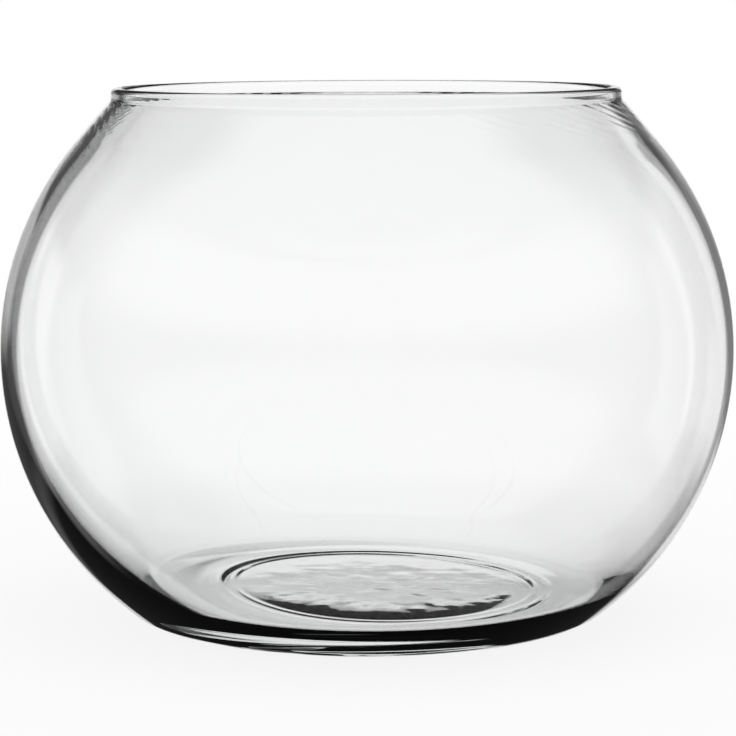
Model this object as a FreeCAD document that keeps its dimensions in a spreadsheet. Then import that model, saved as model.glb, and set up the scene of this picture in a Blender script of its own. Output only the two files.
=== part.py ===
import FreeCAD, Part
import Sketcher
import math
import os

# Rose bowl vase: one continuous piece of clear soda-lime glass.
# All lengths are millimetres and all angles are degrees.
# The origin is the centre of the foot, on the plane that the foot rests on, and +Z is the axis of
# the bowl.

# Each row is a size's name, its value and what it measures.
SIZES = [
    ("belly_diameter", 200.0, "largest outside diameter"),
    ("lower_radius", 89.2, "outside radius of curvature below the widest line"),
    ("lower_angle", 51.4, "angle that the lower curve sweeps below the widest line"),
    ("upper_radius", 88.6, "outside radius of curvature above the widest line"),
    ("neck_slope_angle", 48.7, "slope of the straight neck above the horizontal"),
    ("neck_height", 10.0, "height of the straight neck"),
    ("belly_wall", 2.2, "glass thickness at the widest line"),
    ("neck_gain", 3.0, "how much the inside radius shrinks above the widest line, beside the wall"),
    ("heel_gain", 5.0, "how much the inside radius shrinks below the widest line, beside the wall"),
    ("heel_radius", 10.0, "outside radius of the tight heel"),
    ("sole_radius", 45.0, "outside radius of the gentle curve from the heel to the foot"),
    ("sole_angle", 12.0, "angle that the sole's curve sweeps"),
    ("bearing_width", 6.0, "width of the flat ring that the bowl rests on"),
    ("recess_step_width", 4.0, "width of the smooth step inside the bearing ring"),
    ("recess_depth", 1.2, "depth of the shallow recess under the base"),
    ("base_thickness", 5.0, "height of the inside floor above the resting plane"),
    ("corner_radius", 30.0, "inside radius between floor and wall"),
    ("lip_height", 3.2, "height of the upright lip above the neck"),
    ("lip_thickness", 2.8, "thickness of the fire-polished lip"),
    ("lip_outer_radius", 1.0, "outside radius where the lip meets the neck"),
    ("lip_inner_radius", 2.0, "inside radius where the lip meets the neck"),
]

QUARTER_TURN = math.pi / 2
WHOLE_TURN_ANGLE = 360

# The section's edges in order, from the axis under the base, out and up, over the lip and down
# the inside to the axis again: the edge's name, where it starts, where it ends and, for an arc,
# its centre and the way it turns.
EDGES = [
    ("recess_floor", "recess_centre", "recess_edge", None, None),
    ("step_high", "recess_edge", "step_middle", "step_high", "right"),
    ("step_low", "step_middle", "bearing_edge", "step_low", "left"),
    ("bearing", "bearing_edge", "foot_edge", None, None),
    ("sole", "foot_edge", "sole_end", "sole", "left"),
    ("heel", "sole_end", "heel_end", "heel", "left"),
    ("belly", "heel_end", "widest", "belly", "left"),
    ("shoulder", "widest", "neck_foot", "shoulder", "left"),
    ("neck", "neck_foot", "hollow_start", None, None),
    ("hollow", "hollow_start", "hollow_end", "hollow", "right"),
    ("lip_outside", "hollow_end", "lip_start", None, None),
    ("lip", "lip_start", "lip_end", "lip", "left"),
    ("lip_inside", "lip_end", "bend_start", None, None),
    ("bend", "bend_start", "bend_end", "bend", "left"),
    ("inner_neck", "bend_end", "inner_neck_foot", None, None),
    ("inner_shoulder", "inner_neck_foot", "inner_widest", "inner_shoulder", "right"),
    ("inner_belly", "inner_widest", "corner_start", "inner_belly", "right"),
    ("corner", "corner_start", "floor_edge", "corner", "right"),
    ("floor", "floor_edge", "floor_centre", None, None),
    ("axis", "floor_centre", "recess_centre", None, None),
]

# The sketcher's order of an edge and its points, counted from 0, and of a sketch's own axes.
POINTS = ("edge", "first", "last", "centre")
AXES = ("none", "x", "y")


def make_sheet(doc):
    """The driving sizes: the name, the value and the meaning of each, one row for each size."""
    sheet = doc.addObject("Spreadsheet::Sheet", "sizes")
    for row, (name, value, meaning) in enumerate(SIZES, start=1):
        sheet.set(f"A{row}", name)
        sheet.set(f"B{row}", str(value))
        sheet.set(f"C{row}", meaning)
        sheet.setAlias(f"B{row}", name)
    doc.recompute()
    return sheet


def polar(centre, radius, angle):
    """The point at an angle from +X on a circle round a centre in the section plane."""
    return (centre[0] + radius * math.cos(angle), centre[1] + radius * math.sin(angle))


def outside_points(size, p):
    """Up the outside from the resting plane: sole, heel, lower belly, upper belly and neck."""
    lower = math.radians(size.lower_angle)
    sole = math.radians(size.sole_angle)
    slope = math.radians(size.neck_slope_angle)
    half = size.belly_diameter / 2
    heel_height = size.sole_radius - (size.sole_radius - size.heel_radius) * math.cos(sole)
    widest_height = heel_height + (size.lower_radius - size.heel_radius) * math.sin(lower)
    p["belly"] = (half - size.lower_radius, widest_height)
    p["heel"] = polar(p["belly"], size.lower_radius - size.heel_radius, -lower)
    p["sole"] = polar(p["heel"], size.sole_radius - size.heel_radius, QUARTER_TURN + sole)
    p["foot_edge"] = (p["sole"][0], 0)
    p["sole_end"] = polar(p["sole"], size.sole_radius, sole - QUARTER_TURN)
    p["heel_end"] = polar(p["heel"], size.heel_radius, -lower)
    p["widest"] = (half, widest_height)
    p["shoulder"] = (half - size.upper_radius, widest_height)
    p["neck_foot"] = polar(p["shoulder"], size.upper_radius, QUARTER_TURN - slope)


def lip_points(size, p):
    """The upright lip, with a smooth bend to the neck on both sides and a half-round top."""
    slope = math.radians(size.neck_slope_angle)
    half_bend = math.tan((QUARTER_TURN - slope) / 2)
    neck_run = size.neck_height / math.tan(slope)
    neck_top = (p["neck_foot"][0] - neck_run, p["neck_foot"][1] + size.neck_height)
    reach = size.lip_outer_radius * half_bend
    p["hollow_start"] = polar(neck_top, reach, -slope)
    p["hollow_end"] = (neck_top[0], neck_top[1] + reach)
    p["hollow"] = (neck_top[0] + size.lip_outer_radius, p["hollow_end"][1])
    round_radius = size.lip_thickness / 2
    p["lip_start"] = (neck_top[0], neck_top[1] + size.lip_height - round_radius)
    p["lip"] = (p["lip_start"][0] - round_radius, p["lip_start"][1])
    p["lip_end"] = (p["lip"][0] - round_radius, p["lip"][1])
    neck_wall = size.belly_wall + size.neck_gain * (1 - math.sin(slope))
    inset = size.lip_thickness - neck_wall / math.sin(slope)
    inner_top = (p["lip_end"][0], neck_top[1] + inset * math.tan(slope))
    reach = size.lip_inner_radius * half_bend
    p["bend_start"] = (inner_top[0], inner_top[1] + reach)
    p["bend_end"] = polar(inner_top, reach, -slope)
    p["bend"] = (inner_top[0] + size.lip_inner_radius, p["bend_start"][1])


def inside_points(size, p):
    """Down the inside: the wall is thinnest at the widest line and thickens above and below it."""
    slope = math.radians(size.neck_slope_angle)
    inner_upper = size.upper_radius - size.belly_wall - size.neck_gain
    inner_lower = size.lower_radius - size.belly_wall - size.heel_gain
    p["inner_widest"] = (p["widest"][0] - size.belly_wall, p["widest"][1])
    p["inner_shoulder"] = (p["inner_widest"][0] - inner_upper, p["widest"][1])
    p["inner_neck_foot"] = polar(p["inner_shoulder"], inner_upper, QUARTER_TURN - slope)
    p["inner_belly"] = (p["inner_widest"][0] - inner_lower, p["widest"][1])
    corner_height = size.base_thickness + size.corner_radius
    drop = math.asin((p["widest"][1] - corner_height) / (inner_lower - size.corner_radius))
    p["corner"] = polar(p["inner_belly"], inner_lower - size.corner_radius, -drop)
    p["corner_start"] = polar(p["corner"], size.corner_radius, -drop)
    p["floor_edge"] = (p["corner"][0], size.base_thickness)
    p["floor_centre"] = (0, size.base_thickness)


def base_points(size, p):
    """Under the base: a shallow recess, reached by a smooth step of two equal arcs."""
    bearing = p["foot_edge"][0] - size.bearing_width
    step = 2 * math.atan(size.recess_depth / size.recess_step_width)
    step_radius = size.recess_step_width / (2 * math.sin(step))
    p["bearing_edge"] = (bearing, 0)
    p["step_low"] = (bearing, step_radius)
    p["step_middle"] = (bearing - size.recess_step_width / 2, size.recess_depth / 2)
    p["recess_edge"] = (bearing - size.recess_step_width, size.recess_depth)
    p["step_high"] = (p["recess_edge"][0], size.recess_depth - step_radius)
    p["recess_centre"] = (0, size.recess_depth)


def section_points(size):
    """Where the ends and arc centres of the section's edges lie, worked out from the sizes."""
    p = {}
    outside_points(size, p)
    lip_points(size, p)
    inside_points(size, p)
    base_points(size, p)
    return p


def draw_edges(sketch, points):
    """Add the section's edges and return each edge's number, by name."""
    number = {}
    for name, start, end, centre, way in EDGES:
        a = FreeCAD.Vector(*points[start], 0)
        b = FreeCAD.Vector(*points[end], 0)
        if centre is None:
            edge = Part.LineSegment(a, b)
        else:
            middle = FreeCAD.Vector(*points[centre], 0)
            if way == "right":
                a, b = b, a
            circle = Part.Circle(middle, FreeCAD.Vector(0, 0, 1), (a - middle).Length)
            edge = Part.ArcOfCircle(circle, circle.parameter(a), circle.parameter(b))
        number[name] = sketch.addGeometry(edge, False)
    return number


def ends(name):
    """The numbers of an edge's start and end; an arc that turns right is drawn backwards."""
    way = {row[0]: row[4] for row in EDGES}[name]
    order = ("last", "first") if way == "right" else ("first", "last")
    return [POINTS.index(word) for word in order]


def join_edges(sketch, number):
    """Join each edge to the next: smoothly along the glass, and at a corner on the axis."""
    names = [row[0] for row in EDGES]
    for one, two in zip(names, names[1:] + names[:1]):
        kind = "Coincident" if "axis" in (one, two) else "Tangent"
        sketch.addConstraint(Sketcher.Constraint(
            kind, number[one], ends(one)[1], number[two], ends(two)[0]))


def place_edges(sketch, number):
    """Hold the section on its axis and on the resting plane, and keep level edges level."""
    def add(*words):
        sketch.addConstraint(Sketcher.Constraint(*words))

    last, centre = POINTS.index("last"), POINTS.index("centre")
    for edge, end, axis in (("axis", 0, "y"), ("axis", 1, "y"), ("bearing", 0, "x")):
        add("PointOnObject", number[edge], ends(edge)[end], -AXES.index(axis))
    for edge in ("recess_floor", "bearing", "floor"):
        add("Horizontal", number[edge])
    for edge in ("lip_outside", "lip_inside"):
        add("Vertical", number[edge])
    for edge in ("belly", "inner_belly"):
        add("Horizontal", number[edge], last, number[edge], centre)
    add("Horizontal", number["inner_shoulder"], centre, number["shoulder"], centre)
    add("Equal", number["step_high"], number["step_low"])
    add("Parallel", number["inner_neck"], number["neck"])


def measure(sketch, name, kind, places, value, formula):
    """Add a named dimension and bind it to the sizes."""
    index = sketch.addConstraint(Sketcher.Constraint(kind, *places, value))
    sketch.renameConstraint(index, name)
    sketch.setExpression("Constraints." + name, formula)


def bind_radii(sketch, number):
    """Bind the radius of each arc."""
    radii = [
        ("sole", "sizes.sole_radius"),
        ("heel", "sizes.heel_radius"),
        ("belly", "sizes.lower_radius"),
        ("shoulder", "sizes.upper_radius"),
        ("hollow", "sizes.lip_outer_radius"),
        ("bend", "sizes.lip_inner_radius"),
        ("corner", "sizes.corner_radius"),
        ("inner_shoulder", "sizes.upper_radius - sizes.belly_wall - sizes.neck_gain"),
        ("inner_belly", "sizes.lower_radius - sizes.belly_wall - sizes.heel_gain"),
    ]
    for edge, formula in radii:
        radius = sketch.Geometry[number[edge]].Radius
        measure(sketch, edge + "_radius", "Radius", [number[edge]], radius, formula)


def bind_angles(sketch, number, size):
    """Bind the angle that each of three arcs sweeps."""
    angles = [
        ("belly", size.lower_angle, "sizes.lower_angle * 1 deg"),
        ("sole", size.sole_angle, "sizes.sole_angle * 1 deg"),
        ("shoulder", WHOLE_TURN_ANGLE / 4 - size.neck_slope_angle,
         "90 deg - sizes.neck_slope_angle * 1 deg"),
    ]
    for edge, angle, formula in angles:
        measure(sketch, edge + "_angle", "Angle", [number[edge]], math.radians(angle), formula)


def bind_lengths(sketch, number, points):
    """Bind the widths and heights: each runs from one end of an edge to one end of another."""
    reach = "sizes.lip_outer_radius * tan(45 deg - sizes.neck_slope_angle * 1 deg / 2)"
    spans = [
        ("neck_reach", "DistanceY", "neck", "neck_foot", "hollow", "hollow_end",
         "sizes.neck_height + " + reach),
        ("lip_rise", "DistanceY", "lip_outside", "hollow_end", "lip_outside", "lip_start",
         "sizes.lip_height - sizes.lip_thickness / 2 - " + reach),
        ("lip_width", "DistanceX", "lip", "lip_end", "lip", "lip_start", "sizes.lip_thickness"),
        ("bearing_width", "DistanceX", "bearing", "bearing_edge", "bearing", "foot_edge",
         "sizes.bearing_width"),
        ("step_width", "DistanceX", "recess_floor", "recess_edge", "bearing", "bearing_edge",
         "sizes.recess_step_width"),
        ("recess_depth", "DistanceY", "bearing", "bearing_edge", "recess_floor", "recess_edge",
         "sizes.recess_depth"),
        ("floor_height", "DistanceY", "bearing", "bearing_edge", "floor", "floor_edge",
         "sizes.base_thickness"),
        ("wall_width", "DistanceX", "inner_belly", "inner_widest", "belly", "widest",
         "sizes.belly_wall"),
    ]
    along = {row[0]: (row[1], row[2]) for row in EDGES}
    for name, kind, one, start, two, end, formula in spans:
        places = [number[one], ends(one)[along[one].index(start)],
                  number[two], ends(two)[along[two].index(end)]]
        direction = 0 if kind == "DistanceX" else 1
        value = points[end][direction] - points[start][direction]
        measure(sketch, name, kind, places, value, formula)


def origin_plane(body, role):
    """One of the body's own origin planes."""
    for feature in body.Origin.OriginFeatures:
        if feature.Role == role:
            return feature
    raise ValueError(role)


def draw_section(body, size):
    """Half of the bowl's section, in the plane through its axis."""
    section = body.newObject("Sketcher::SketchObject", "section")
    section.AttachmentSupport = [(origin_plane(body, "XZ_Plane"), "")]
    section.MapMode = "FlatFace"
    points = section_points(size)
    number = draw_edges(section, points)
    join_edges(section, number)
    place_edges(section, number)
    bind_radii(section, number)
    bind_angles(section, number, size)
    bind_lengths(section, number, points)
    measure(section, "half_belly", "DistanceX", [number["belly"], ends("belly")[1]],
            points["widest"][0], "sizes.belly_diameter / 2")
    return section


def glass_bowl(doc, size):
    """The bowl: its section, drawn once and turned about the axis."""
    body = doc.addObject("PartDesign::Body", "glass_bowl")
    body.Label = "glass_bowl"
    section = draw_section(body, size)
    doc.recompute()
    if not section.FullyConstrained:
        raise RuntimeError("the section isn't fully constrained")
    turned = body.newObject("PartDesign::Revolution", "turned_glass")
    turned.Profile = section
    turned.ReferenceAxis = (section, ["V_Axis"])
    turned.Angle = WHOLE_TURN_ANGLE
    section.Visibility = False
    return body


def check(doc, pieces):
    """Stop if any object of the document failed or any piece has no sound shape."""
    for item in doc.Objects:
        if "Invalid" in item.State or "Error" in item.State:
            raise RuntimeError(f"{item.Name} failed: {item.State}")
    for piece in pieces:
        if piece.Shape.isNull() or not piece.Shape.isValid():
            raise RuntimeError(f"{piece.Label} has no sound shape")


def main():
    doc = FreeCAD.newDocument("rose_bowl_vase")
    sizes = make_sheet(doc)
    pieces = [glass_bowl(doc, sizes)]
    doc.recompute()
    check(doc, pieces)
    os.makedirs("parts", exist_ok=True)
    for piece in pieces:
        piece.Shape.exportStep(f"parts/{piece.Label}.step")
        box = piece.Shape.BoundBox
        print(f"{piece.Label}: {len(piece.Shape.Solids)} solid, volume {piece.Shape.Volume:.0f} mm3,"
              f" {box.XLength:.2f} x {box.YLength:.2f} x {box.ZLength:.2f} mm")


main()
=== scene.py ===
import bpy
import math
from mathutils import Euler, Matrix, Vector, noise


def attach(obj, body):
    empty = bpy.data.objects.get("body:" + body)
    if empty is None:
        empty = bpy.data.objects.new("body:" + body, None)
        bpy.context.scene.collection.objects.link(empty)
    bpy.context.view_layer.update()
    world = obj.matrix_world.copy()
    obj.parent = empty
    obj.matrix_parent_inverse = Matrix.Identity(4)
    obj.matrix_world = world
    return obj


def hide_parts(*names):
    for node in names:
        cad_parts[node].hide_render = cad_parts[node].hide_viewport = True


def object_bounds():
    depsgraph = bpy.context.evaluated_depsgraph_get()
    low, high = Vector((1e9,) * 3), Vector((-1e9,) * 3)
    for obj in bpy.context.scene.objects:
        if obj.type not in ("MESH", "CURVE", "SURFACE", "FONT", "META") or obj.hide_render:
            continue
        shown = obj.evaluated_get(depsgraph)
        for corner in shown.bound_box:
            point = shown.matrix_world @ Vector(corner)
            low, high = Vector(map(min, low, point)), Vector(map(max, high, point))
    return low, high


# Rose bowl vase in clear glass on a pale floor. All lengths are metres.

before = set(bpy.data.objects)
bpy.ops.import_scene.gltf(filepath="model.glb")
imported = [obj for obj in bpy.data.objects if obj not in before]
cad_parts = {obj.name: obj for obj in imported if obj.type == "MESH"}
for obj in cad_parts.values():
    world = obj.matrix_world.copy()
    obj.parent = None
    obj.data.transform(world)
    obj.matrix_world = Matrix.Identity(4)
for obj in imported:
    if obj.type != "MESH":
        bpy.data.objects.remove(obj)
cad_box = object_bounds()

# The bowl's sizes, as its solid has them.
MM = 0.001
BELLY_RADIUS = (cad_box[1].x - cad_box[0].x) / 2
LOWER_RADIUS = 89.2 * MM
LOWER_ANGLE = math.radians(51.4)
UPPER_RADIUS = 88.6 * MM
NECK_SLOPE = math.radians(48.7)
NECK_HEIGHT = 10.0 * MM
BELLY_WALL = 2.2 * MM
HEEL_GAIN = 4.0 * MM
NECK_GAIN = 3.0 * MM
HEEL_RADIUS = 10.0 * MM
SOLE_RADIUS = 45.0 * MM
SOLE_ANGLE = math.radians(12.0)
BEARING_WIDTH = 6.0 * MM
RECESS_STEP_WIDTH = 8.0 * MM
RECESS_DEPTH = 0.45 * MM
BASE_THICKNESS = 4.8 * MM
CORNER_RADIUS = 30.0 * MM
LIP_HEIGHT = 3.2 * MM
LIP_THICKNESS = 2.8 * MM
LIP_OUTER_RADIUS = 1.0 * MM
LIP_INNER_RADIUS = 2.0 * MM

# How far the hollow stands off the axis at the inside floor, to the right and to the front.
OFF_RIGHT = 3.2 * MM
OFF_FRONT = 0.8 * MM

QUARTER = math.pi / 2


def polar(centre, radius, angle):
    """The point at an angle from the outward direction on a circle in the section."""
    return (centre[0] + radius * math.cos(angle), centre[1] + radius * math.sin(angle))


def arc(centre, radius, start, end, step):
    """Points along an arc of the section, its first point left out."""
    count = max(3, math.ceil(abs(end - start) * radius / step))
    return [polar(centre, radius, start + (end - start) * k / count) for k in range(1, count + 1)]


def line(start, end, step):
    """Points along a straight stretch of the section, its first point left out."""
    length = math.dist(start, end)
    count = max(1, math.ceil(length / step))
    return [(start[0] + (end[0] - start[0]) * k / count, start[1] + (end[1] - start[1]) * k / count)
            for k in range(1, count + 1)]


WIDE, FINE, TINY = 3.0 * MM, 1.2 * MM, 0.35 * MM
HEEL_HEIGHT = SOLE_RADIUS - (SOLE_RADIUS - HEEL_RADIUS) * math.cos(SOLE_ANGLE)
WIDEST_HEIGHT = HEEL_HEIGHT + (LOWER_RADIUS - HEEL_RADIUS) * math.sin(LOWER_ANGLE)
SHOULDER = (BELLY_RADIUS - UPPER_RADIUS, WIDEST_HEIGHT)
NECK_FOOT = polar(SHOULDER, UPPER_RADIUS, QUARTER - NECK_SLOPE)
NECK_TOP = (NECK_FOOT[0] - NECK_HEIGHT / math.tan(NECK_SLOPE), NECK_FOOT[1] + NECK_HEIGHT)
RING_START = 39.0 * MM
HALF_BEND = math.tan((QUARTER - NECK_SLOPE) / 2)


def outside():
    """The outer section, from the axis under the base to the top of the lip."""
    belly = (BELLY_RADIUS - LOWER_RADIUS, WIDEST_HEIGHT)
    heel = polar(belly, LOWER_RADIUS - HEEL_RADIUS, -LOWER_ANGLE)
    sole = polar(heel, SOLE_RADIUS - HEEL_RADIUS, QUARTER + SOLE_ANGLE)
    bearing = sole[0] - BEARING_WIDTH
    step_angle = 2 * math.atan(RECESS_DEPTH / RECESS_STEP_WIDTH)
    step_radius = RECESS_STEP_WIDTH / (2 * math.sin(step_angle))
    recess = bearing - RECESS_STEP_WIDTH
    points = [(0.0, RECESS_DEPTH)]
    points += line(points[-1], (recess, RECESS_DEPTH), recess / 4)
    points += arc((recess, RECESS_DEPTH - step_radius), step_radius, QUARTER, QUARTER - step_angle, TINY)
    points += arc((bearing, step_radius), step_radius, -QUARTER - step_angle, -QUARTER, TINY)
    points += line(points[-1], (sole[0], 0.0), FINE)
    points += arc(sole, SOLE_RADIUS, -QUARTER, SOLE_ANGLE - QUARTER, FINE)
    points += arc(heel, HEEL_RADIUS, SOLE_ANGLE - QUARTER, -LOWER_ANGLE, TINY)
    points += arc(belly, LOWER_RADIUS, -LOWER_ANGLE, 0.0, WIDE)
    points += arc(SHOULDER, UPPER_RADIUS, 0.0, QUARTER - NECK_SLOPE, WIDE)
    reach = LIP_OUTER_RADIUS * HALF_BEND
    points += line(points[-1], polar(NECK_TOP, reach, -NECK_SLOPE), FINE)
    points += arc((NECK_TOP[0] + LIP_OUTER_RADIUS, NECK_TOP[1] + reach), LIP_OUTER_RADIUS,
                  math.pi + QUARTER - NECK_SLOPE, math.pi, TINY / 2)
    lip = (NECK_TOP[0] - LIP_THICKNESS / 2, NECK_TOP[1] + LIP_HEIGHT - LIP_THICKNESS / 2)
    points += line(points[-1], (NECK_TOP[0], lip[1]), TINY)
    return points + arc(lip, LIP_THICKNESS / 2, 0.0, QUARTER, TINY / 2)


def inside():
    """The inner section, from the top of the lip to the axis over the floor."""
    lip = (NECK_TOP[0] - LIP_THICKNESS / 2, NECK_TOP[1] + LIP_HEIGHT - LIP_THICKNESS / 2)
    points = arc(lip, LIP_THICKNESS / 2, QUARTER, math.pi, TINY / 2)
    upper = UPPER_RADIUS - BELLY_WALL - NECK_GAIN
    centre = (BELLY_RADIUS - BELLY_WALL - upper, WIDEST_HEIGHT)
    neck_foot = polar(centre, upper, QUARTER - NECK_SLOPE)
    inner_x = NECK_TOP[0] - LIP_THICKNESS
    corner_z = neck_foot[1] + (neck_foot[0] - inner_x) * math.tan(NECK_SLOPE)
    reach = LIP_INNER_RADIUS * HALF_BEND
    points += line(points[-1], (inner_x, corner_z + reach), TINY)
    points += arc((inner_x + LIP_INNER_RADIUS, corner_z + reach), LIP_INNER_RADIUS,
                  math.pi, math.pi + QUARTER - NECK_SLOPE, TINY / 2)
    points += line(points[-1], neck_foot, FINE)
    points += arc(centre, upper, QUARTER - NECK_SLOPE, 0.0, WIDE)
    lower = LOWER_RADIUS - BELLY_WALL - HEEL_GAIN
    centre = (BELLY_RADIUS - BELLY_WALL - lower, WIDEST_HEIGHT)
    drop = math.asin((WIDEST_HEIGHT - BASE_THICKNESS - CORNER_RADIUS) / (lower - CORNER_RADIUS))
    corner = polar(centre, lower - CORNER_RADIUS, -drop)
    points += arc(centre, lower, 0.0, -drop, WIDE)
    points += arc(corner, CORNER_RADIUS, -drop, -QUARTER, FINE)
    points += line(points[-1], (RING_START, BASE_THICKNESS), TINY)
    return points + line(points[-1], (0.0, BASE_THICKNESS), FINE)


def off_axis(z):
    """How far the hollow stands off the axis at a height, to the right and to the front."""
    share = max(0.0, 1 - (z - BASE_THICKNESS) / NECK_TOP[1]) ** 3
    return OFF_RIGHT * share, -OFF_FRONT * share


SEGMENTS = 300

# Ripples that the moulding leaves in the inside floor, with finer and lower ones among them.
RIPPLE_SIZE = 8.0 * MM
RIPPLE_FINER = 2.3
RIPPLE_FINER_SHARE = 0.4
RIPPLE_FINER_SEED = 9
RIPPLE_HEIGHT = 0.09 * MM
RIPPLE_RADIUS = 40.0 * MM
RIPPLE_FADE = 6.0 * MM
RIPPLE_SEED = 3.7
# The inside floor stands a little higher in its middle.
DOME_HEIGHT = 0.85 * MM
DOME_RADIUS = 41.0 * MM
DOME_POWER = 5
# Fine waves round the sole and heel: their pitch in height, their depth and the height they end at.
WAVE_PITCH = 2.4 * MM
WAVE_DEPTH = 0.06 * MM
WAVE_TOP = 14.0 * MM
WAVE_DRIFT = 3
# Faint rings in the inside floor: radius, width and height.
RINGS = [(42.3 * MM, 0.8 * MM, 0.14 * MM), (46.0 * MM, 1.1 * MM, 0.16 * MM)]


def ripple(x, y, seed):
    """How far the glass rises or sinks at a point of the floor."""
    share = min(1.0, max(0.0, (RIPPLE_RADIUS - math.hypot(x, y)) / RIPPLE_FADE))
    coarse = noise.noise(Vector((x / RIPPLE_SIZE, y / RIPPLE_SIZE, seed)))
    fine = noise.noise(Vector((RIPPLE_FINER * x / RIPPLE_SIZE, RIPPLE_FINER * y / RIPPLE_SIZE,
                               seed + RIPPLE_FINER_SEED)))
    rings = sum(height * math.exp(-((math.hypot(x, y) - radius) / width) ** 2)
                for radius, width, height in RINGS)
    dome = DOME_HEIGHT * (1 - min(1.0, math.hypot(x, y) / DOME_RADIUS) ** DOME_POWER)
    return RIPPLE_HEIGHT * share * (coarse + RIPPLE_FINER_SHARE * fine) + rings + dome


def sole_wave(z, angle):
    """How far the outside of the sole and heel stands out at a height and an angle round the bowl."""
    share = max(0.0, min(1.0, 1 - z / WAVE_TOP)) * min(1.0, z / WAVE_PITCH)
    drift = noise.noise(Vector((math.cos(angle), math.sin(angle), RIPPLE_SEED)))
    return WAVE_DEPTH * share * math.sin(2 * math.pi * z / WAVE_PITCH + WAVE_DRIFT * drift)


def turned_mesh(name, outer, inner, segments):
    """A closed mesh: both sections turned, the inner one about an axis that drifts with height."""
    ring = outer[1:] + inner[:-1]
    hollow = len(outer) - 1
    vertices = []
    for k in range(segments):
        angle = 2 * math.pi * k / segments
        for i, (r, z) in enumerate(ring):
            if i < hollow:
                r += sole_wave(z, angle)
            x, y = r * math.cos(angle), r * math.sin(angle)
            shift = off_axis(z) if i >= hollow else (0.0, 0.0)
            on_floor = i >= hollow and z < BASE_THICKNESS + RIPPLE_HEIGHT
            rise_by = ripple(x, y, RIPPLE_SEED) if on_floor else 0.0
            vertices.append((x + shift[0], y + shift[1], z + rise_by))
    count = len(ring)
    under = len(vertices)
    vertices.append((0.0, 0.0, outer[0][1]))
    over = len(vertices)
    vertices.append((*off_axis(inner[-1][1]), inner[-1][1] + ripple(0.0, 0.0, RIPPLE_SEED)))
    faces = []
    for k in range(segments):
        here, there = k * count, (k + 1) % segments * count
        faces.append((under, there, here))
        faces += [(here + i, there + i, there + i + 1, here + i + 1) for i in range(count - 1)]
        faces.append((over, here + count - 1, there + count - 1))
    mesh = bpy.data.meshes.new(name)
    mesh.from_pydata(vertices, [], faces)
    mesh.polygons.foreach_set("use_smooth", [True] * len(mesh.polygons))
    mesh.update()
    return mesh


def make_piece(name, mesh, material):
    """An object in the scene with one material."""
    piece = bpy.data.objects.new(name, mesh)
    mesh.materials.append(material)
    bpy.context.collection.objects.link(piece)
    return piece


def value_of(tree, operation, one, two):
    """A Math node on two sockets or numbers."""
    node = tree.nodes.new("ShaderNodeMath")
    node.operation = operation
    for slot, value in enumerate((one, two)):
        if hasattr(value, "links"):
            tree.links.new(value, node.inputs[slot])
        else:
            node.inputs[slot].default_value = value
    return node.outputs[0]


def blend_of(tree, factor, one, two):
    """A Mix node on two numbers or sockets."""
    node = tree.nodes.new("ShaderNodeMix")
    node.data_type = "FLOAT"
    tree.links.new(factor, node.inputs["Factor"])
    for name, value in (("A", one), ("B", two)):
        if hasattr(value, "links"):
            tree.links.new(value, node.inputs[name])
        else:
            node.inputs[name].default_value = value
    return node.outputs["Result"]


def rise(tree, value, low, high):
    """0 below low, 1 above high and smooth between."""
    node = tree.nodes.new("ShaderNodeMapRange")
    node.interpolation_type = "SMOOTHSTEP"
    tree.links.new(value, node.inputs["Value"])
    node.inputs["From Min"].default_value = low
    node.inputs["From Max"].default_value = high
    return node.outputs["Result"]


def patch(tree, azimuth, height, turn, turn_soft, low, high, height_soft):
    """1 between two azimuths and two heights, with soft edges, degrees."""
    left = rise(tree, azimuth, turn[0] - turn_soft, turn[0] + turn_soft)
    right = rise(tree, azimuth, turn[1] - turn_soft, turn[1] + turn_soft)
    sides = value_of(tree, "MULTIPLY", left, value_of(tree, "SUBTRACT", 1.0, right))
    bottom = rise(tree, height, low - height_soft, low + height_soft)
    top = rise(tree, height, high - height_soft, high + height_soft)
    ends = value_of(tree, "MULTIPLY", bottom, value_of(tree, "SUBTRACT", 1.0, top))
    return value_of(tree, "MULTIPLY", sides, ends)


# The glass: its optics, then its polish, slow waves and neck scores.
GLASS_IOR = 1.52
ABSORPTION_COLOUR = (0.80, 0.88, 0.86, 1)
ABSORPTION_DENSITY = 12.0
WHITE = (1, 1, 1, 1)
POLISH_SIZE = 60.0
POLISH_DETAIL = 3.0
POLISH_DULL_SHARES = (0.55, 0.9)
POLISH_ROUGHNESS = 0.01
DRAW_DETAIL = 1.0
DRAW_SIZE = 35.0
DRAW_DEPTH = 0.01 * MM
SCORE_COUNT = 70
SCORE_PITCH = 2.2 * MM
SCORE_DEPTH = 0.006 * MM
SCORE_LOW = NECK_TOP[1] - 9.0 * MM
SCORE_HIGH = NECK_TOP[1] - 0.5 * MM


def polish(tree, place):
    """Almost mirror smooth, with faint duller patches as handled glass has."""
    grain = tree.nodes.new("ShaderNodeTexNoise")
    grain.inputs["Scale"].default_value = POLISH_SIZE
    grain.inputs["Detail"].default_value = POLISH_DETAIL
    tree.links.new(place, grain.inputs["Vector"])
    node = tree.nodes.new("ShaderNodeMapRange")
    tree.links.new(grain.outputs["Fac"], node.inputs["Value"])
    node.inputs["From Min"].default_value = POLISH_DULL_SHARES[0]
    node.inputs["From Max"].default_value = POLISH_DULL_SHARES[1]
    node.inputs["To Max"].default_value = POLISH_ROUGHNESS
    return node.outputs["Result"]


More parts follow.
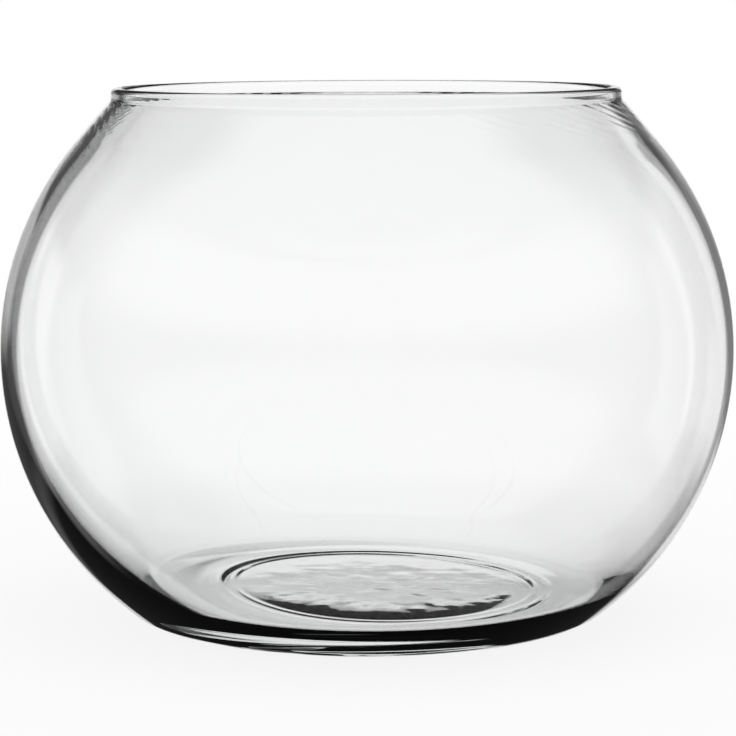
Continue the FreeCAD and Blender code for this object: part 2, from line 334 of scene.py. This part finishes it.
def surface_detail(tree, place, parts):
    """Slow waves over all the glass, and slanting scores on the neck under the lip."""
    waves = tree.nodes.new("ShaderNodeTexNoise")
    waves.inputs["Scale"].default_value = DRAW_SIZE
    waves.inputs["Detail"].default_value = DRAW_DETAIL
    tree.links.new(place, waves.inputs["Vector"])
    first = tree.nodes.new("ShaderNodeBump")
    first.inputs["Strength"].default_value = 1.0
    first.inputs["Distance"].default_value = DRAW_DEPTH
    tree.links.new(waves.outputs["Fac"], first.inputs["Height"])
    turn = value_of(tree, "ARCTAN2", parts.outputs["Y"], parts.outputs["X"])
    slant = value_of(tree, "MULTIPLY", parts.outputs["Z"], 2 * math.pi / SCORE_PITCH)
    phase = value_of(tree, "ADD", value_of(tree, "MULTIPLY", turn, SCORE_COUNT), slant)
    begin = rise(tree, parts.outputs["Z"], SCORE_LOW, SCORE_LOW + SCORE_PITCH)
    end = rise(tree, parts.outputs["Z"], SCORE_HIGH - SCORE_PITCH / 2, SCORE_HIGH)
    band = value_of(tree, "MULTIPLY", begin, value_of(tree, "SUBTRACT", 1.0, end))
    second = tree.nodes.new("ShaderNodeBump")
    second.inputs["Strength"].default_value = 1.0
    second.inputs["Distance"].default_value = SCORE_DEPTH
    score = value_of(tree, "MULTIPLY", value_of(tree, "SINE", phase, 0.0), band)
    tree.links.new(score, second.inputs["Height"])
    tree.links.new(first.outputs[0], second.inputs["Normal"])
    return second.outputs[0]


def glass_material():
    """Clear soda-lime glass."""
    material = bpy.data.materials.new("clear_glass")
    material.use_nodes = True
    nodes, links = material.node_tree.nodes, material.node_tree.links
    shader = nodes["Principled BSDF"]
    tree = material.node_tree
    place = nodes.new("ShaderNodeTexCoord").outputs["Object"]
    parts = nodes.new("ShaderNodeSeparateXYZ")
    links.new(place, parts.inputs[0])
    shader.inputs["Base Color"].default_value = WHITE
    links.new(polish(tree, place), shader.inputs["Roughness"])
    links.new(surface_detail(tree, place, parts), shader.inputs["Normal"])
    shader.inputs["IOR"].default_value = GLASS_IOR
    shader.inputs["Transmission Weight"].default_value = 1.0
    volume = nodes.new("ShaderNodeVolumeAbsorption")
    volume.inputs["Color"].default_value = ABSORPTION_COLOUR
    volume.inputs["Density"].default_value = ABSORPTION_DENSITY
    links.new(volume.outputs["Volume"], nodes["Material Output"].inputs["Volume"])
    return material


# How strongly the world lights what is neither seen directly nor in a reflection.
LIGHT_LEVEL = 0.85

# What reflections see. Each row has a name, two azimuths from the +Y direction with their soft edge, two
# heights above the horizon with theirs, all in degrees, and the level. A row covers the rows before it.
PANELS = [
    ("overhead", (-190, 190), 1, 45, 100, 8, 0.15),
    ("front_right", (82, 190), 12, 12, 100, 8, 1.0),
    ("front_left", (-190, -82), 12, 12, 100, 8, 1.0),
    ("ground_front", (-190, 190), 1, -95, -35, 6, 0.04),
    ("ground_middle", (-42, 42), 2, -95, -20, 4, 0.03),
    ("gap", (-42, 31), 2, -20, 60, 4, 0.09),
    ("right_side", (31, 64), 2, -16, 24, 4, 0.85),
    ("right_gap", (15, 31), 2, -20, 11, 3, 0.22),
    ("right_low", (15, 24), 2, -24, -12, 2, 0.8),
    ("left_side", (-64, -42), 2, -22, 14, 3, 0.90),
    ("left_strip", (-30, -15), 2, -6.5, 6.5, 1.5, 0.50),
    ("backdrop", (-15, 15), 1.5, -23, 9, 1.5, 1.0),
    ("floor_behind", (-11, 11), 2, -34, -15, 3, 0.9),
]
ROOM_LEVEL = 0.45

# What is seen straight through the glass: the backdrop, a grey wall on its left and above it, and over
# both a dark ceiling. The backdrop's low edge is past straight down, so it doesn't show.
BACKDROP_TURN = (-13.6, 28)
BACKDROP_SLANT_SHARE = 0.45
BACKDROP_TOP = 5.0
BACKDROP_TURN_SOFT = 0.5
BACKDROP_TOP_SOFT = 0.6
BACKDROP_LOW = -95
WALL_TURN = (-27, 27)
WALL_LOW = -40
WALL_TOP = 9.0
WALL_SOFT = 1
WALL_LEVEL = 0.20
CEILING_RISE = (6.5, 8.0)
CEILING_LEVEL = 0.06
BACKDROP_LEVEL = 1.0
CAMERA_WHITE = 1.0


def seen_through(tree):
    """1 for rays that see the background directly or through glass without a reflection."""
    path = tree.nodes.new("ShaderNodeLightPath")
    straight = value_of(tree, "MAXIMUM", path.outputs["Is Camera Ray"], path.outputs["Is Transmission Ray"])
    plain = value_of(tree, "LESS_THAN", path.outputs["Glossy Depth"], 0.5)
    return value_of(tree, "MULTIPLY", straight, plain), path


def make_world():
    """White where it is seen, an even light on the floor, and a darker studio in reflections."""
    world = bpy.data.worlds.new("studio")
    bpy.context.scene.world = world
    world.use_nodes = True
    tree = world.node_tree
    nodes, links = tree.nodes, tree.links
    shader = nodes["Background"]
    through, path = seen_through(tree)
    place = nodes.new("ShaderNodeTexCoord")
    parts = nodes.new("ShaderNodeSeparateXYZ")
    links.new(place.outputs["Generated"], parts.inputs[0])
    turn = value_of(tree, "ARCTAN2", parts.outputs["X"], parts.outputs["Y"])
    azimuth = value_of(tree, "MULTIPLY", turn, 180 / math.pi)
    height = value_of(tree, "MULTIPLY", value_of(tree, "ARCSINE", parts.outputs["Z"], 0.0), 180 / math.pi)
    level = ROOM_LEVEL
    for name, turn, turn_soft, low, high, soft, amount in PANELS:
        share = patch(tree, azimuth, height, turn, turn_soft, low, high, soft)
        level = blend_of(tree, share, level, amount)
    glossy = value_of(tree, "GREATER_THAN", path.outputs["Glossy Depth"], 0.5)
    studio = blend_of(tree, glossy, LIGHT_LEVEL, level)
    wall = patch(tree, azimuth, height, WALL_TURN, WALL_SOFT, WALL_LOW, WALL_TOP, WALL_SOFT)
    slanted = value_of(tree, "SUBTRACT", azimuth, value_of(tree, "MULTIPLY", height, BACKDROP_SLANT_SHARE))
    white = patch(tree, slanted, height, BACKDROP_TURN, BACKDROP_TURN_SOFT, BACKDROP_LOW, BACKDROP_TOP,
                  BACKDROP_TOP_SOFT)
    grey = value_of(tree, "MULTIPLY", wall, value_of(tree, "SUBTRACT", 1.0, white))
    sides = blend_of(tree, grey, BACKDROP_LEVEL, WALL_LEVEL)
    through_level = blend_of(tree, rise(tree, height, *CEILING_RISE), sides, CEILING_LEVEL)
    ahead = blend_of(tree, path.outputs["Is Camera Ray"], through_level, CAMERA_WHITE)
    links.new(blend_of(tree, through, studio, ahead), shader.inputs["Strength"])
    shader.inputs["Color"].default_value = WHITE


FLOOR_SIZE = 12.0
FLOOR_DROP = 0.3 * MM
FLOOR_COLOUR = (0.85, 0.85, 0.85, 1)
# The floor glows fully white from here on, and a little less near the bowl: there the lower glow is a
# painted shade round the bowl, and the diffuse part keeps the real shadow.
PAINTED_SHADE_FADE = (0.15, 0.45)
PAINTED_SHADE_GLOW_SHARE = 0.88


def floor_material():
    """A pale floor that reads white, keeps a faint shadow under a painted shade near the bowl, and is clear
    to rays off or through glass.
    """
    material = bpy.data.materials.new("pale_floor")
    material.use_nodes = True
    tree = material.node_tree
    nodes, links = tree.nodes, tree.links
    nodes.remove(nodes["Principled BSDF"])
    diffuse = nodes.new("ShaderNodeBsdfDiffuse")
    diffuse.inputs["Color"].default_value = FLOOR_COLOUR
    glow = nodes.new("ShaderNodeEmission")
    path = nodes.new("ShaderNodeLightPath")
    glow.inputs["Strength"].default_value = CAMERA_WHITE
    seen = nodes.new("ShaderNodeMixShader")
    place = nodes.new("ShaderNodeTexCoord").outputs["Object"]
    distance = nodes.new("ShaderNodeVectorMath")
    distance.operation = "LENGTH"
    links.new(place, distance.inputs[0])
    # Painted shade: the white glow is lower near the bowl, by distance from it, and fades out further away.
    far = rise(tree, distance.outputs["Value"], *PAINTED_SHADE_FADE)
    white = blend_of(tree, far, PAINTED_SHADE_GLOW_SHARE, CAMERA_WHITE)
    links.new(value_of(tree, "MULTIPLY", path.outputs["Is Camera Ray"], white), seen.inputs[0])
    links.new(diffuse.outputs[0], seen.inputs[1])
    links.new(glow.outputs[0], seen.inputs[2])
    clear = nodes.new("ShaderNodeBsdfTransparent")
    either = nodes.new("ShaderNodeMixShader")
    bent = value_of(tree, "MAXIMUM", path.outputs["Is Glossy Ray"], path.outputs["Is Transmission Ray"])
    links.new(bent, either.inputs[0])
    links.new(seen.outputs[0], either.inputs[1])
    links.new(clear.outputs[0], either.inputs[2])
    links.new(either.outputs[0], nodes["Material Output"].inputs["Surface"])
    return material


def make_floor():
    """The floor just under the foot."""
    mesh = bpy.data.meshes.new("floor")
    half = FLOOR_SIZE / 2
    corners = [(-half, -half), (half, -half), (half, half), (-half, half)]
    mesh.from_pydata([(x, y, -FLOOR_DROP) for x, y in corners], [], [(0, 1, 2, 3)])
    floor = make_piece("floor", mesh, floor_material())


LAMP_PLACE = (0.3, -0.2, 1.6)
LAMP_SIZE = 1.2
LAMP_POWER = 5.0


def make_lamp(name, place, target, size, power):
    """A soft square lamp."""
    data = bpy.data.lights.new(name, "AREA")
    data.size = size
    data.energy = power
    lamp = bpy.data.objects.new(name, data)
    lamp.location = place
    lamp.rotation_euler = (Vector(target) - Vector(place)).to_track_quat("-Z", "Y").to_euler()
    lamp.visible_glossy = False
    lamp.visible_transmission = False
    bpy.context.collection.objects.link(lamp)


CAMERA_DISTANCE = 0.750
CAMERA_HEIGHT = 0.1655
CAMERA_PITCH = math.radians(7.46)
CAMERA_ROLL = math.radians(-0.2)
CAMERA_ASIDE = 0.0002
FRAME_PIXELS = 736
FOCAL_PIXELS = 2750.5
SENSOR_WIDTH = 36.0


def make_camera():
    """The camera in front of the bowl, a little above its rim, looking slightly down."""
    data = bpy.data.cameras.new("camera")
    data.sensor_width = SENSOR_WIDTH
    data.lens = FOCAL_PIXELS / FRAME_PIXELS * SENSOR_WIDTH
    camera = bpy.data.objects.new("camera", data)
    camera.location = (CAMERA_ASIDE, -CAMERA_DISTANCE, CAMERA_HEIGHT)
    camera.rotation_euler = (Euler((QUARTER - CAMERA_PITCH, 0, 0)).to_matrix()
                             @ Matrix.Rotation(CAMERA_ROLL, 3, "Z")).to_euler()
    bpy.context.collection.objects.link(camera)
    bpy.context.scene.camera = camera


def make_bowl():
    """The bowl's glass."""
    mesh = turned_mesh("rose_bowl", outside(), inside(), SEGMENTS)
    bowl = make_piece("rose_bowl", mesh, glass_material())
    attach(bowl, "root")
    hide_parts("glass_bowl")
    print("bowl triangles", sum(len(p.vertices) - 2 for p in mesh.polygons))


make_bowl()
make_floor()
make_world()
make_lamp("top_light", LAMP_PLACE, (0, 0, 0), LAMP_SIZE, LAMP_POWER)
make_camera()
bpy.context.scene.view_settings.view_transform = "Standard"
